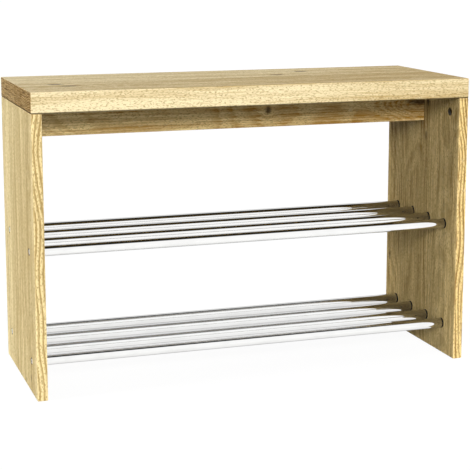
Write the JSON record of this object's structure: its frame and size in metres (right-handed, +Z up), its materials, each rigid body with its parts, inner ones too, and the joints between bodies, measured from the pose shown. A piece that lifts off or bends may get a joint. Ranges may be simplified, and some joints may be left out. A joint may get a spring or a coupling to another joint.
{
  "type": "shoe bench",
  "caption": "Solid oak shoe bench with a thick flat seat, plain side panels, a rail under the seat and open shoe racks of chromed tubes between the panels.",
  "frame": {"origin": "on the floor under the middle of the bench", "axes": "+X along the seat to the right seen from the front, +Y from the front to the back, +Z up"},
  "size_m": [0.8, 0.3, 0.525],
  "materials": {
    "oak": "solid oak staves, sanded, clear matt oil",
    "chrome_tube": "polished chrome plate on steel tube",
    "bolt_steel": "nickel plated",
    "plug_steel": "plain turned steel",
    "zinc_fitting": "bare zinc die casting",
    "beech": "plain turned beech"
  },
  "bodies": {
    "bench_frame": {"left_front_seat_cam": "zinc_fitting", "left_front_seat_cam_bolt": "zinc_fitting", "left_front_seat_dowel": "beech", "left_lower_front_tube_bolt": "bolt_steel", "left_lower_rail_dowel": "beech", "left_lower_rear_tube_bolt": "bolt_steel", "left_rail_cam": "zinc_fitting", "left_rail_cam_bolt": "zinc_fitting", "left_rail_seat_dowel": "beech", "left_rear_seat_cam": "zinc_fitting", "left_rear_seat_cam_bolt": "zinc_fitting", "left_rear_seat_dowel": "beech", "left_side_panel": "oak", "left_upper_front_tube_bolt": "bolt_steel", "left_upper_rail_dowel": "beech", "left_upper_rear_tube_bolt": "bolt_steel", "lower_front_tube": "chrome_tube", "lower_front_tube_left_plug": "plug_steel", "lower_front_tube_right_plug": "plug_steel", "lower_rear_tube": "chrome_tube", "lower_rear_tube_left_plug": "plug_steel", "lower_rear_tube_right_plug": "plug_steel", "right_front_seat_cam": "zinc_fitting", "right_front_seat_cam_bolt": "zinc_fitting", "right_front_seat_dowel": "beech", "right_lower_front_tube_bolt": "bolt_steel", "right_lower_rail_dowel": "beech", "right_lower_rear_tube_bolt": "bolt_steel", "right_rail_cam": "zinc_fitting", "right_rail_cam_bolt": "zinc_fitting", "right_rail_seat_dowel": "beech", "right_rear_seat_cam": "zinc_fitting", "right_rear_seat_cam_bolt": "zinc_fitting", "right_rear_seat_dowel": "beech", "right_side_panel": "oak", "right_upper_front_tube_bolt": "bolt_steel", "right_upper_rail_dowel": "beech", "right_upper_rear_tube_bolt": "bolt_steel", "seat_rail": "oak", "seat_top": "oak", "upper_front_tube": "chrome_tube", "upper_front_tube_left_plug": "plug_steel", "upper_front_tube_right_plug": "plug_steel", "upper_rear_tube": "chrome_tube", "upper_rear_tube_left_plug": "plug_steel", "upper_rear_tube_right_plug": "plug_steel"},
    "lower_second_tube": {"lower_second_tube": "chrome_tube"},
    "lower_third_tube": {"lower_third_tube": "chrome_tube"},
    "upper_second_tube": {"upper_second_tube": "chrome_tube"},
    "upper_third_tube": {"upper_third_tube": "chrome_tube"}
  },
  "joints": [
    {"name": "lower_second_tube_spin", "type": "hinge", "parent": "bench_frame", "child": "lower_second_tube", "pos_m": [0, -0.03333, 0.057], "axis": [1, 0, 0], "continuous": true},
    {"name": "lower_third_tube_spin", "type": "hinge", "parent": "bench_frame", "child": "lower_third_tube", "pos_m": [0, 0.03333, 0.057], "axis": [1, 0, 0], "continuous": true},
    {"name": "upper_second_tube_spin", "type": "hinge", "parent": "bench_frame", "child": "upper_second_tube", "pos_m": [0, -0.03333, 0.249], "axis": [1, 0, 0], "continuous": true},
    {"name": "upper_third_tube_spin", "type": "hinge", "parent": "bench_frame", "child": "upper_third_tube", "pos_m": [0, 0.03333, 0.249], "axis": [1, 0, 0], "continuous": true}
  ]
}
